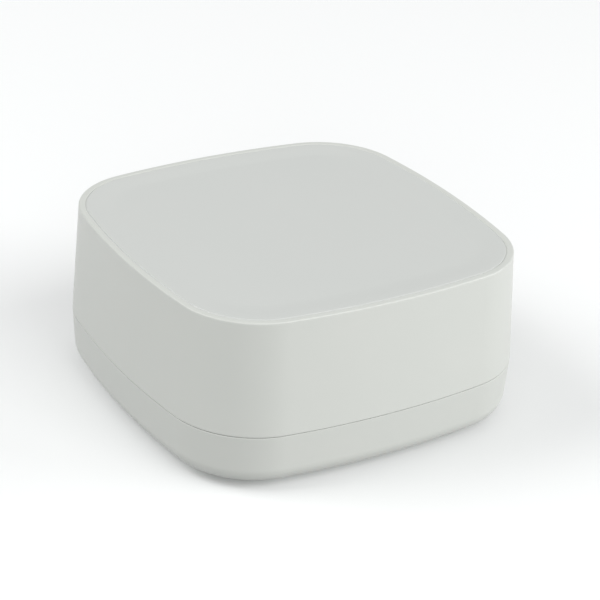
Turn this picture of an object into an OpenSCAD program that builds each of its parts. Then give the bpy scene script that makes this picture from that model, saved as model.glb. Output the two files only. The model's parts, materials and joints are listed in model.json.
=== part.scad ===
// Smart home hub: a low, square box with softly bowed sides and large rounded corners.
// The origin is at the middle of the plane that the feet stand on. +Z is up, the front faces
// -Y, and the sockets and buttons are in the back wall, on +Y. Sizes are in millimetres.

/* [Housing] */
// Width and depth across the middle of the sides, at the joint between the two shells
body_w = 70; // [69:0.5:74]
// Height from the underside of the base to the rim
body_h = 31; // [30.5:0.1:34]
// Height of the joint between the two shells above the underside of the base
seam_h = 10.1; // [9.6:0.1:10.6]
// Radius of the bowed sides, seen from above
side_r = 148; // [130:1:170]
// Radius of the rounded corners, seen from above
corner_r = 16.4; // [16:0.1:17]
// How far the upper shell leans in between the joint and the rim
top_lean = 1.2; // [0.8:0.1:1.4]
// How far the base leans in between the joint and its rounded lower edge
base_lean = 0.4; // [0.2:0.1:0.6]
// Radius of the rounded lower edge of the base
base_round = 3.7; // [3.3:0.1:4]
// Thickness of the moulded walls
wall = 1.8; // [1.6:0.1:2]
// Height of the fine gap between the two shells
seam_gap = 0.1; // [0.1:0.05:0.3]
// Thickness of the deck under the top panel
deck_t = 1.4; // [1.2:0.1:1.6]

/* [Top panel] */
// Width of the rim that stands round the panel
rim_w = 1.3; // [1.1:0.05:1.4]
// Gap between the rim and the panel
panel_gap = 0.02; // [0.02:0.01:0.1]
// Thickness of the panel at its edge
panel_t = 1.3; // [1.1:0.1:1.5]
// Depth of the shallow dish in the panel
dish = 0.2; // [0.1:0.05:0.3]
// Width of the sloping border of the dish
dish_border = 5.5; // [4:0.5:8]

/* [Feet and label] */
// How far the feet stand out below the base
foot_out = 0.8; // [0.6:0.1:1]
// Width of each curved foot
foot_w = 5; // [4.8:0.1:5.2]
// Distance from the widest outline in to the outer edge of a foot
foot_inset = 4.5; // [4.4:0.1:4.8]
// Angle between the middles of a foot's two round ends, seen from its corner's centre
foot_angle = 34; // [26:2:40]
// Width of the rating label
label_w = 34; // [28:1:38]
// Depth of the rating label
label_d = 22; // [16:1:24]

/* [Board] */
// Thickness of the circuit board
board_t = 1.6; // [1.2:0.2:1.6]
// Width and depth of the circuit board
board_w = 61.6; // [61:0.1:62]
// Radius of the board's corners
board_r = 12.4; // [12:0.1:14]
// Side-to-side place of the board's screws
board_screw_x = 27.5; // [27:0.1:27.8]
// Front-to-back place of the board's screws
board_screw_y = 10; // [9:0.5:12]

/* [Sockets and buttons] */
// Side-to-side place of the network socket
net_x = -10.5; // [-11:0.5:-10]
// Side-to-side place of the power socket
usb_x = 4; // [3.5:0.5:4.5]
// Side-to-side place of the reset hole
reset_x = 11; // [10.8:0.1:11.2]
// Side-to-side place of the pairing button
button_x = 16.5; // [16.3:0.1:16.7]
// Diameter of the pairing button
button_d = 5.2; // [4.6:0.1:5.4]
// Clearance all round the pairing button in its hole
button_gap = 0.25; // [0.15:0.05:0.3]

/* [Hidden] */

// The outline is eight tangent arcs: four bowed sides, each about a centre far beyond the
// opposite side, and four corners. A side meets a corner on the line through both centres.
far_c = body_w / 2 - side_r;
corner_c = (far_c + sqrt(2 * pow(side_r - corner_r, 2) - far_c * far_c)) / 2;
meet = atan2(corner_c - far_c, corner_c);
// The corner arcs stand out by this much more than true tangency would give, so that each
// crosses its two sides at an angle of a degree or two and the surfaces meet in a clean edge.
corner_out = 0.01;
// Heights above the plane that the feet stand on
base_z = foot_out;
floor_z = base_z + wall;
seam_z = base_z + seam_h;
top_z = base_z + body_h;
seat_z = top_z - panel_t - 0.1;
deck_z = seat_z - deck_t;
board_z = seam_z;
board_under = board_z - board_t;

// The tongue and rebate that line up the two shells behind the fine gap
tongue_in = 0.95;
tongue_h = 1.5;
rim_top = seam_z - seam_gap / 2;
skirt_bottom = seam_z + seam_gap / 2;

rim_round = 0.25;
// Width and depth of the bevels that make a fine groove between the rim and the panel
groove = 0.25;
panel_inset = top_lean + rim_w + panel_gap;
round_z = base_z + base_round;
// Snap hooks of the panel: width, distance from the middle of a side, depth, and play in the slot
hook_w = 4;
hook_at = 10;
hook_y = 26.6;
hook_t = 0.9;
hook_lip = 0.45;
hook_play = 0.2;

// Posts that the housing screws run through, and the bores in them
post_r = 2.6;
pilot_r = 1.1;
free_r = 1.25;
head_r = 2;
head_seat = base_z + 3.2;
stud_r = 2.3;

// Cuts through the back wall start inside it and end well outside it
cut_from = 29;
cut_len = 8;
reset_r = 0.75;

foot_mid_r = corner_r - foot_inset - foot_w / 2;
screw_c = corner_c + foot_mid_r * cos(45);
// How deep the label's place is sunk, and the label's thickness
label_recess = 0.3;
label_t = 0.2;

// Sizes of the network socket: width, depth and height of its case, and its cavity
net_w = 16;
net_d = 21.3;
net_h = 13.4;
net_front = 33.4;
sheet = 0.3;
cavity_w = 11.8;
cavity_d = 14.5;
cavity_low = 4;
cavity_top = 10.9;
pin_pitch = 1.02;

// Sizes of the power socket
usb_w = 8.94;
usb_h = 3.16;
usb_d = 7.4;
usb_front = 34.5;
usb_wall = 0.3;
usb_z = board_z + 0.05 + usb_h / 2;

// Middle of the processor, and the can that covers it and the memory
core_x = 6.5;
core_y = -5;
can_y = -1;
can_w = 20;
can_d = 24;
can_h = 3.5;

// Heights and depths of the two switches and of what pushes them
button_z = board_z + 4.2;
button_face = 34.15;
guide_back = 30.9;
guide_r = 4.4;
guide_len = 1.9;
flange_front = 30.8;
flange_back = 30;
plunger_tip = 28.9;
switch_front = 28;
reset_z = board_z + 1.8;
reset_front = 30;

antenna_x = 30.9;
antenna_t = 0.6;
antenna_low = 17;
antenna_h = 9;
antenna_half = 12;
socket_x = 21;
lead_r = 0.55;
lead_x = antenna_x - lead_r - 0.03;
lead_z = board_z + 1.15;
lead_bend = 2.5;
lead_end = 21;

// A solid with the housing's outline. Its section is a polygon of points [x, z], where -x is
// the distance in from the widest outline, and it is closed on the middle of the housing.
module outline_solid(points) {
    low = min([for (p = points) p[1]]);
    high = max([for (p = points) p[1]]);
    section = concat(points, [[-side_r, points[len(points) - 1][1]], [-side_r, points[0][1]]]);
    difference() {
        intersection_for(q = [0 : 3]) rotate(90 * q) translate([0, far_c])
            rotate_extrude($fn = 720) translate([side_r, 0]) polygon(section);
        for (q = [0 : 3]) rotate(90 * q) difference() {
            corner_wedge(low, high);
            translate([corner_c + corner_out, corner_c + corner_out]) rotate_extrude($fn = 180)
                intersection() {
                    translate([corner_r, 0]) polygon(section);
                    translate([0, low]) square([corner_r + 5, high - low]);
                }
        }
    }
}

// The sector outside a corner's centre, between the lines on which it meets the two sides
module corner_wedge(low, high) {
    a = 90 - meet;
    far_out = 2 * corner_r;
    translate([corner_c + corner_out, corner_c + corner_out, low]) linear_extrude(high - low) polygon([
        [0, 0], [far_out * cos(a), far_out * sin(a)], [far_out, far_out], [far_out * sin(a), far_out * cos(a)]
    ]);
}

// A cylinder lying along Y, from y to y + length
module along_y(r, x, y, z, length) {
    translate([x, y, z]) rotate([-90, 0, 0]) cylinder(r = r, h = length, $fn = 48);
}

// A block centred on x and y, with its lower face at z
module block(x, y, z, w, d, h) {
    translate([x - w / 2, y - d / 2, z]) cube([w, d, h]);
}

// A flat shape with half-round ends
module stadium(w, h) {
    square([w - h, h], center = true);
    for (s = [-1, 1]) translate([s * (w - h) / 2, 0]) circle(d = h, $fn = 48);
}

// A rectangle with rounded corners
module rounded(w, d, r) {
    square([w - 2 * r, d], center = true);
    square([w, d - 2 * r], center = true);
    for (x = [-1, 1], y = [-1, 1]) translate([x * (w / 2 - r), y * (d / 2 - r)]) circle(r = r, $fn = 32);
}

module at_corners(c) {
    for (x = [-c, c], y = [-c, c]) translate([x, y, 0]) children();
}

module at_board_screws() {
    for (x = [-1, 1], y = [-1, 1]) translate([x * board_screw_x, y * board_screw_y, 0]) children();
}

// Places a child drawn on the middle of the back side at two spots on each of the four sides
module at_hooks() {
    for (q = [0 : 3], s = [-hook_at, hook_at]) rotate(90 * q) translate([s, hook_y, 0]) children();
}

// The upper shell: skirt, leaning wall, rounded rim, panel recess and deck
module upper_shell() {
    rim_out = top_lean + rim_round;
    rim_in = top_lean + rim_w;
    rebate = tongue_in - 0.1;
    rebate_z = seam_z + tongue_h + 0.2;
    fillet = 0.9;
    difference() {
        outline_solid(concat(
            [[0, skirt_bottom], [-top_lean, top_z - rim_round]],
            [for (a = [30 : 30 : 90]) [-rim_out + rim_round * cos(a), top_z - rim_round * (1 - sin(a))]]
        ));
        outline_solid([[-rim_in, seat_z], [-rim_in, top_z - groove], [-rim_in + 2 * groove, top_z + groove]]);
        outline_solid([
            [-rebate, skirt_bottom - 1], [-rebate, rebate_z], [-wall, rebate_z],
            [-top_lean - wall, deck_z - fillet], [-top_lean - wall - fillet, deck_z]
        ]);
    }
}

module upper_housing() {
    color("white") difference() {
        union() {
            upper_shell();
            at_corners(screw_c) translate([0, 0, seam_z])
                cylinder(r = post_r, h = deck_z - seam_z + 0.5, $fn = 48);
            // guide behind the wall for the pairing button
            intersection() {
                along_y(guide_r, button_x, guide_back, button_z, guide_len);
                translate([0, 0, skirt_bottom]) cube([body_w, body_w, body_h]);
            }
            // slotted ribs that hold the two antennas against the side walls
            for (s = [-1, 1], y = [-1, 1]) difference() {
                block(s * 31.4, y * 12.6, antenna_low - 1, 2.8, 3, deck_z - antenna_low + 1.2);
                block(s * (antenna_x + antenna_t / 2), y * 11.6, antenna_low - 0.05, antenna_t + 0.1, 1.1,
                    antenna_h + 0.1);
            }
        }
        at_corners(screw_c) translate([0, 0, seam_z - 1]) cylinder(r = pilot_r, h = 11, $fn = 32);
        // slots for the panel's hooks
        at_hooks() translate([-hook_w / 2 - hook_play, -hook_lip, deck_z - 1])
            cube([hook_w + 2 * hook_play, hook_t + 2 * hook_lip - 0.3, deck_t + 2]);
        // network socket notch, power socket notch, reset hole and button hole
        block(net_x, cut_from + cut_len / 2, seam_z - 1, net_w + 0.4, cut_len, net_h + 1.2);
        translate([usb_x, cut_from, usb_z]) rotate([-90, 0, 0]) linear_extrude(cut_len)
            stadium(usb_w + 0.5, usb_h + 0.5);
        block(usb_x, cut_from + cut_len / 2, seam_z - 1, usb_w + 0.5, cut_len, usb_z - seam_z + 1);
        along_y(reset_r, reset_x, cut_from, reset_z, cut_len);
        along_y(button_d / 2 + button_gap, button_x, cut_from, button_z, cut_len);
        // thinned spot in the front wall that the status light shines through
        translate([-2.8, -33.85, seam_z + 3.9]) cube([5.6, 4, 3]);
    }
}

// The cover panel, very slightly dished, with eight snap hooks under it
module top_panel() {
    under = seat_z + 0.1;
    color("ghostwhite") {
        outline_solid([
            [-panel_inset, under], [-panel_inset, top_z - groove],
            [-panel_inset - groove * (1 - cos(45)), top_z - groove * (1 - cos(45))],
            [-panel_inset - groove, top_z], [-panel_inset - dish_border, top_z - dish]
        ]);
        at_hooks() translate([-hook_w / 2, 0, under]) rotate([90, 0, 90]) linear_extrude(hook_w) polygon([
            [0, 0.3], [hook_t, 0.3], [hook_t, -deck_t - 0.15], [hook_t + hook_lip, -deck_t - 0.15],
            [hook_t, -deck_t - 1.1], [0, -deck_t - 1.1]
        ]);
    }
}

// The base shell: tongue, leaning wall, rounded lower edge and floor
module base_shell() {
    out = base_lean + base_round;
    inner = base_round - wall;
    tongue_top = seam_z + tongue_h;
    difference() {
        outline_solid(concat(
            [[-tongue_in, tongue_top], [-tongue_in, rim_top], [0, rim_top]],
            [for (a = [0 : 10 : 90]) [-out + base_round * cos(a), round_z - base_round * sin(a)]]
        ));
        outline_solid(concat(
            [[-wall, tongue_top + 1], [-wall, rim_top]],
            [for (a = [0 : 15 : 90]) [-out + inner * cos(a), round_z - inner * sin(a)]]
        ));
    }
}

// A slot through the floor for cooling air, with round ends
module vent(x, y) {
    translate([x, y, base_z - 1]) rotate(90) linear_extrude(wall + 2) stadium(9, 1.6);
}

module base_housing() {
    color("white") difference() {
        union() {
            base_shell();
            at_corners(screw_c) {
                translate([0, 0, base_z + 0.9]) cylinder(r = 3.2, h = 4.2, $fn = 48);
                translate([0, 0, base_z + 0.9]) cylinder(r = post_r, h = seam_z - base_z - 0.9, $fn = 48);
            }
            at_board_screws() translate([0, 0, base_z + 1])
                cylinder(r = stud_r, h = board_under - base_z - 1, $fn = 48);
        }
        at_corners(screw_c) {
            cylinder(r = head_r + 0.2, h = head_seat, $fn = 48);
            cylinder(r = free_r, h = seam_z + 1, $fn = 32);
        }
        at_board_screws() translate([0, 0, board_under - 4.5]) cylinder(r = 1, h = 6, $fn = 32);
        for (x = [-14 : 4 : 14], y = [-20, 20]) vent(x, y);
        translate([0, 0, base_z - 0.1]) linear_extrude(label_recess + 0.1)
            rounded(label_w + 0.6, label_d + 0.6, 1.6);
        // the tongue stops where the sockets and buttons stand in the back wall
        translate([-20, 25, rim_top]) cube([41, 12, 4]);
    }
}

// A curved rubber pad with round ends, glued under the corner number q, counted
// anticlockwise from the rear right. Its lower edge is bevelled.
module foot(q) {
    inner = foot_mid_r - foot_w / 2;
    outer = foot_mid_r + foot_w / 2;
    bevel = 0.3;
    color("dimgray") rotate(90 * q) translate([corner_c, corner_c, 0]) {
        rotate(45 - foot_angle / 2) rotate_extrude(angle = foot_angle, $fn = 96) polygon([
            [inner, base_z], [inner, bevel], [inner + bevel, 0],
            [outer - bevel, 0], [outer, bevel], [outer, base_z]
        ]);
        for (a = [45 - foot_angle / 2, 45 + foot_angle / 2]) rotate(a) translate([foot_mid_r, 0, 0]) {
            cylinder(r1 = foot_w / 2 - bevel, r2 = foot_w / 2, h = bevel, $fn = 48);
            translate([0, 0, bevel]) cylinder(r = foot_w / 2, h = base_z - bevel, $fn = 48);
        }
    }
}
module foot_rear_right() { foot(0); }
module foot_rear_left() { foot(1); }
module foot_front_left() { foot(2); }
module foot_front_right() { foot(3); }

module rating_label() {
    color("silver") translate([0, 0, base_z + label_recess - label_t]) linear_extrude(label_t)
        rounded(label_w, label_d, 1.3);
}

// A pan-head screw with its head's seat at z = 0 and its shaft going up
module screw(head_r, head_h, shaft_r, length) {
    difference() {
        union() {
            translate([0, 0, -head_h]) cylinder(r1 = head_r - 0.3, r2 = head_r, h = 0.3, $fn = 32);
            translate([0, 0, 0.3 - head_h]) cylinder(r = head_r, h = head_h - 0.3, $fn = 32);
            cylinder(r = shaft_r, h = length - 0.6, $fn = 32);
            translate([0, 0, length - 0.6]) cylinder(r1 = shaft_r, r2 = shaft_r / 3, h = 0.6, $fn = 32);
        }
        for (a = [0, 90]) rotate(a) block(0, 0, -head_h - 1, 2.2, 0.5, 1.8);
    }
}

module housing_screws() {
    color("gray") at_corners(screw_c) translate([0, 0, head_seat]) screw(head_r, 1.5, pilot_r - 0.05, 14);
}

// The board, with a notch at each corner for the posts that the housing screws run through
module main_board() {
    color("darkgreen") difference() {
        translate([0, 0, board_under]) linear_extrude(board_t) rounded(board_w, board_w, board_r);
        at_corners(screw_c + 1.5) translate([0, 0, board_under - 1])
            cylinder(r = 5.4, h = board_t + 2, $fn = 48);
        at_board_screws() translate([0, 0, board_under - 1]) cylinder(r = 1.15, h = board_t + 2, $fn = 32);
    }
}

module board_screws() {
    color("silver") at_board_screws() translate([0, 0, board_z]) rotate([180, 0, 0]) screw(1.9, 1.2, 0.95, 5);
}

// A moulded chip on a thin carrier
module chip(x, y, w, d, h) {
    block(x, y, board_z, w, d, 0.4);
    block(x, y, board_z + 0.3, w - 0.6, d - 0.6, h - 0.3);
}
module processor() { color([0.15, 0.15, 0.16]) chip(core_x, core_y, 14, 14, 1.3); }
module memory_chip() { color([0.15, 0.15, 0.16]) chip(core_x, core_y + 11.5, 11, 8, 1.1); }
module flash_chip() { color([0.15, 0.15, 0.16]) chip(-13, -9, 8, 6, 1); }
module regulator_chip() { color([0.15, 0.15, 0.16]) chip(11, 20.5, 3.2, 3.2, 0.9); }

module thermal_pad() {
    color("lightblue") block(core_x, core_y, board_z + 1.3, 12, 12, 1.9);
}

// A pressed steel can, open at the bottom, round the block it covers
module shield_can(x, y, z, w, d, h) {
    difference() {
        block(x, y, z, w, d, h);
        block(x, y, z - 1, w - 2 * sheet, d - 2 * sheet, h + 1 - sheet);
    }
}
module processor_shield() { color("lightgray") shield_can(core_x, can_y, board_z, can_w, can_d, can_h); }
module wifi_shield() { color("lightgray") shield_can(12, -19.5, board_z, 12, 11, 2.2); }

module heat_sink() {
    color("darkgray") {
        block(core_x, can_y, board_z + can_h, can_w - 1, can_d - 2, 1.4);
        for (i = [-3 : 3]) block(core_x + 2.95 * i, can_y, board_z + can_h + 1.2, 1, can_d - 2, 4.8);
    }
}

// Pressed steel case of the network socket, open in front and below
module network_socket_shield() {
    color("silver") difference() {
        translate([net_x - net_w / 2, net_front - net_d, board_z]) cube([net_w, net_d, net_h]);
        translate([net_x - net_w / 2 + sheet, net_front - net_d + sheet, board_z - 1])
            cube([net_w - 2 * sheet, net_d - 2 * sheet, net_h + 1 - sheet]);
        block(net_x, net_front, board_z + 0.9, net_w - 2, 4, net_h - 1.7);
    }
}

// Moulded body of the network socket with the cavity for the plug and its latch
module network_socket_body() {
    depth = net_d - 2 * sheet - 0.1;
    front = net_front - sheet - 0.02;
    color([0.1, 0.1, 0.1]) difference() {
        block(net_x, front - depth / 2, board_z + 0.02, net_w - 2 * sheet - 0.1, depth, net_h - sheet - 0.08);
        block(net_x, front - cavity_d / 2, board_z + cavity_low,
            cavity_w, cavity_d + 0.1, cavity_top - cavity_low);
        block(net_x, front - cavity_d / 2, board_z + 2.4, 6.4, cavity_d + 0.1, 2);
        block(net_x, front - cavity_d / 2, board_z + 1.2, 3.4, cavity_d + 0.1, 1.5);
        block(net_x, front - 2.5 - 5, board_z + cavity_top - 0.5, 8.4, 10.5, 0.9);
        for (s = [-1, 1]) block(net_x + s * 5.5, front - 4, board_z + 1.1, 2.9, 8.1, 2.1);
    }
}

// Eight spring contacts that slope down from the roof of the cavity
module network_socket_contacts() {
    color("gold") for (i = [-3.5 : 3.5]) translate([net_x + pin_pitch * i - 0.22, net_front, board_z])
        rotate([90, 0, 90]) linear_extrude(0.44) polygon([
            [-3.2, 11.2], [-3.2, 10.9], [-4.2, 10.5], [-12.4, 8.7], [-12.6, 8.95], [-4.3, 10.85], [-3.6, 11.2]
        ]);
}

module network_socket_lights() {
    front = net_front - sheet - 0.02;
    color([0.8, 0.85, 0.6]) for (s = [-1, 1])
        block(net_x + s * 5.5, front - 4.05, board_z + 1.15, 2.8, 7.9, 2);
}

module network_transformer() {
    color([0.12, 0.12, 0.12]) {
        block(net_x, 6, board_z + 0.2, 12.7, 7.2, 5.6);
        for (i = [-3.5 : 3.5], s = [-1, 1]) block(net_x + 1.5 * i, 6 + s * 4, board_z, 0.5, 1.6, 0.3);
    }
}

module power_socket_shell() {
    color("silver") difference() {
        translate([usb_x, usb_front - usb_d, usb_z]) rotate([-90, 0, 0]) linear_extrude(usb_d)
            stadium(usb_w, usb_h);
        translate([usb_x, usb_front - usb_d + usb_wall, usb_z]) rotate([-90, 0, 0]) linear_extrude(usb_d)
            stadium(usb_w - 2 * usb_wall, usb_h - 2 * usb_wall);
    }
}

module power_socket_tongue() {
    color([0.1, 0.1, 0.1]) {
        translate([usb_x, usb_front - usb_d + usb_wall + 0.02, usb_z]) rotate([-90, 0, 0]) linear_extrude(1.9)
            stadium(usb_w - 2 * usb_wall - 0.08, usb_h - 2 * usb_wall - 0.08);
        block(usb_x, usb_front - 3.4, usb_z - 0.35, 6.7, 5.2, 0.7);
    }
}

// Twelve flat contacts on each face of the tongue
module power_socket_contacts() {
    color("gold") for (i = [-5.5 : 5.5], s = [-1, 1])
        block(usb_x + 0.5 * i, usb_front - 3, usb_z - 0.03 + s * 0.38, 0.26, 3.4, 0.06);
}

// The button's cap, the flange that keeps it in, and the stem that meets the switch
module pairing_button() {
    color("gainsboro") {
        along_y(button_d / 2, button_x, flange_back, button_z, button_face - 0.25 - flange_back);
        translate([button_x, button_face - 0.25, button_z]) rotate([-90, 0, 0])
            cylinder(r1 = button_d / 2, r2 = button_d / 2 - 0.25, h = 0.25, $fn = 48);
        along_y(3.6, button_x, flange_back, button_z, flange_front - flange_back);
        along_y(1.3, button_x, plunger_tip, button_z, 2);
    }
}

module pairing_switch() {
    color([0.2, 0.2, 0.22]) difference() {
        block(button_x, switch_front - 1.8, board_z, 6.2, 3.6, 7.2);
        along_y(1.6, button_x, switch_front - 2, button_z, 4);
    }
}

module pairing_plunger() {
    color("darkred") along_y(1.4, button_x, switch_front - 1.4, button_z, plunger_tip - switch_front + 1.4);
}

module reset_switch() {
    color([0.2, 0.2, 0.22]) difference() {
        block(reset_x, reset_front - 1.7, board_z, 3.4, 3.4, 3.6);
        along_y(reset_r + 0.15, reset_x, reset_front - 2, reset_z, 4);
    }
}

module reset_plunger() {
    color("white") along_y(reset_r, reset_x, reset_front - 1.5, reset_z, 2.3);
}

module status_led() {
    color("ivory") {
        block(0, -27, board_z, 3.2, 2.8, 1);
        block(0, -27, board_z + 0.9, 2.6, 2.2, 0.9);
    }
}

// The clear guide that stands over the light and turns its beam forward to the front wall
module light_pipe() {
    low = board_z + 4.2;
    high = board_z + 6.6;
    color([0.85, 0.92, 0.95, 0.7]) difference() {
        translate([-2.6, 0, 0]) rotate([90, 0, 90]) linear_extrude(5.2) polygon([
            [-28.6, board_z], [-28.6, low], [-33.2, low], [-33.2, high],
            [-27.8, high], [-25.4, low], [-25.4, board_z]
        ]);
        block(0, -27, board_z - 1, 3.8, 6, 3.1);
    }
}

module radio_module_board() { color("darkblue") block(-15, -19.5, board_z, 13, 12, 0.8); }
module radio_module_shield() { color("lightgray") shield_can(-14, -18.7, board_z + 0.8, 10, 9.4, 1.8); }

// An F-shaped strip aerial that stands on the edge of the board
module radio_antenna() {
    color("gold") {
        block(-24, -14.8, board_z, 0.4, 1.2, 5);
        block(-24, -8.8, board_z, 0.4, 1.2, 5);
        block(-24, -9.5, board_z + 4, 0.4, 11.8, 1.6);
    }
}

// A flat aerial board held upright beside the side wall on side s
module antenna(s) {
    color("darkolivegreen") block(s * (antenna_x + antenna_t / 2), 0, antenna_low,
        antenna_t, 2 * antenna_half, antenna_h);
}
module antenna_left() { antenna(-1); }
module antenna_right() { antenna(1); }

// A thin coaxial lead that runs out from its plug, turns up and ends on the aerial board
module antenna_lead(s) {
    run = lead_x - lead_bend;
    color([0.15, 0.15, 0.15]) mirror([s < 0 ? 1 : 0, 0, 0]) {
        translate([socket_x + 2.9, 0, lead_z]) rotate([0, 90, 0])
            cylinder(r = lead_r, h = run - socket_x - 2.9, $fn = 24);
        translate([run, 0, lead_z + lead_bend]) rotate([90, 0, 0]) rotate([0, 0, -90])
            rotate_extrude(angle = 90, $fn = 48) translate([lead_bend, 0]) circle(r = lead_r, $fn = 24);
        translate([lead_x, 0, lead_z + lead_bend])
            cylinder(r = lead_r, h = lead_end - lead_z - lead_bend, $fn = 24);
    }
}
module antenna_lead_left() { antenna_lead(-1); }
module antenna_lead_right() { antenna_lead(1); }

module antenna_sockets() {
    color("gold") for (s = [-1, 1]) {
        block(s * socket_x, 0, board_z, 2.6, 2.6, 0.4);
        translate([s * socket_x, 0, board_z]) cylinder(r = 0.95, h = 1.3, $fn = 32);
    }
}

module antenna_plugs() {
    color("goldenrod") for (s = [-1, 1]) difference() {
        union() {
            translate([s * socket_x, 0, board_z + 0.5]) cylinder(r = 1.5, h = 1.3, $fn = 32);
            block(s * (socket_x + 1.9), 0, board_z + 0.5, 2, 1.6, 1.3);
        }
        translate([s * socket_x, 0, board_z]) cylinder(r = 1, h = 1.4, $fn = 32);
    }
}

module bulk_capacitors() {
    color("lightsteelblue") for (y = [8, 15.2]) {
        block(20.5, y, board_z, 6.6, 6.6, 1);
        translate([20.5, y, board_z + 0.9]) cylinder(r = 3.15, h = 6.8, $fn = 48);
    }
}

module power_inductor() {
    color([0.25, 0.25, 0.26]) {
        block(4, 21.4, board_z, 6, 6, 0.6);
        translate([4, 21.4, board_z + 0.5]) linear_extrude(2.4) rounded(5.6, 5.6, 1.2);
    }
}

module crystal() {
    color("silver") translate([-12.5, -2.6, board_z]) {
        linear_extrude(0.6) stadium(11.2, 4.8);
        translate([0, 0, 0.5]) linear_extrude(3) stadium(10.4, 4);
    }
}

// Small resistors and capacitors in short rows
module chip_passives() {
    color("tan") for (row = [[-6.8, -14], [-4, -24.5], [19, -9], [-22.5, 5.5]], i = [0 : 3])
        block(row[0], row[1] + 2 * i, board_z, 1.6, 0.8, 0.6);
}

upper_housing();
top_panel();
base_housing();
foot_front_left();
foot_front_right();
foot_rear_left();
foot_rear_right();
rating_label();
housing_screws();
main_board();
board_screws();
processor();
memory_chip();
flash_chip();
thermal_pad();
processor_shield();
heat_sink();
network_socket_shield();
network_socket_body();
network_socket_contacts();
network_socket_lights();
network_transformer();
power_socket_shell();
power_socket_tongue();
power_socket_contacts();
pairing_button();
pairing_switch();
pairing_plunger();
reset_switch();
reset_plunger();
status_led();
light_pipe();
radio_module_board();
radio_module_shield();
radio_antenna();
wifi_shield();
antenna_left();
antenna_right();
antenna_lead_left();
antenna_lead_right();
antenna_sockets();
antenna_plugs();
bulk_capacitors();
power_inductor();
regulator_chip();
crystal();
chip_passives();
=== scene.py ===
"""Looks of a square smart home hub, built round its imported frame.

Lengths are in metres, in the frame's axes: +Z up, the front faces -Y, and the sockets and
buttons are in the back wall, on +Y. Places come from the frame's own boxes.
"""

import json
import logging
import math
from collections.abc import Callable, Iterable, Sequence
from dataclasses import dataclass, field
from enum import Enum

import bmesh
import bpy
from mathutils import Matrix, Vector


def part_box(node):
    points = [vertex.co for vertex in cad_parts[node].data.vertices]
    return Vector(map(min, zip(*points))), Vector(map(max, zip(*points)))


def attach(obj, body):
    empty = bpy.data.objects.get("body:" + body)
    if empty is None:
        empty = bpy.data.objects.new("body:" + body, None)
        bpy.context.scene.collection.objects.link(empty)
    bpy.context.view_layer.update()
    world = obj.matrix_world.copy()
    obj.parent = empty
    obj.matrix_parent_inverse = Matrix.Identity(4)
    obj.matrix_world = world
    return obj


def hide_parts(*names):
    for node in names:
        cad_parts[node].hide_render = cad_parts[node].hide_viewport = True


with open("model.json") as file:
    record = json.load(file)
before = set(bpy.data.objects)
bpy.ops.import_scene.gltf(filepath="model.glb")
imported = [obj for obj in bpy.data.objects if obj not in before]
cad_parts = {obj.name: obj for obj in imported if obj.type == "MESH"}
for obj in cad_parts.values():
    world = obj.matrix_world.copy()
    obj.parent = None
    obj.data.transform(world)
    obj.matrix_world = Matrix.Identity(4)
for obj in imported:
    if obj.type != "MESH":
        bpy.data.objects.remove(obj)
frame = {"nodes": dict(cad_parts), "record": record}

LOG = logging.getLogger("hub")
MM = 0.001
Point = tuple[float, float]
Place = tuple[float, float, float]


class Body(Enum):
    """The frame's bodies that pieces ride on."""

    HOUSING = "housing"
    PAIRING = "pairing_button"
    RESET = "reset_plunger"


class Axis(Enum):
    """The ways that a round piece can lie: its first end at the front, or its foot below."""

    BACK = "+Y"
    UP = "+Z"


# ---------------------------------------------------------------------------------------
# Modelling helpers: thin wrappers round the operators, used as by hand
# ---------------------------------------------------------------------------------------


def only(*objects: bpy.types.Object) -> None:
    """Selects just these objects and makes the first one active.

    Args:
        objects: the objects to select.
    """
    bpy.ops.object.select_all(action="DESELECT")
    for obj in objects:
        obj.select_set(True)
    bpy.context.view_layer.objects.active = objects[0]


def named(name: str) -> bpy.types.Object:
    """Names the object that an operator has just added.

    Args:
        name: the name for the object and its mesh.

    Returns:
        That object.
    """
    obj = bpy.context.active_object
    obj.name = name
    obj.data.name = name
    return obj


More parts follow.
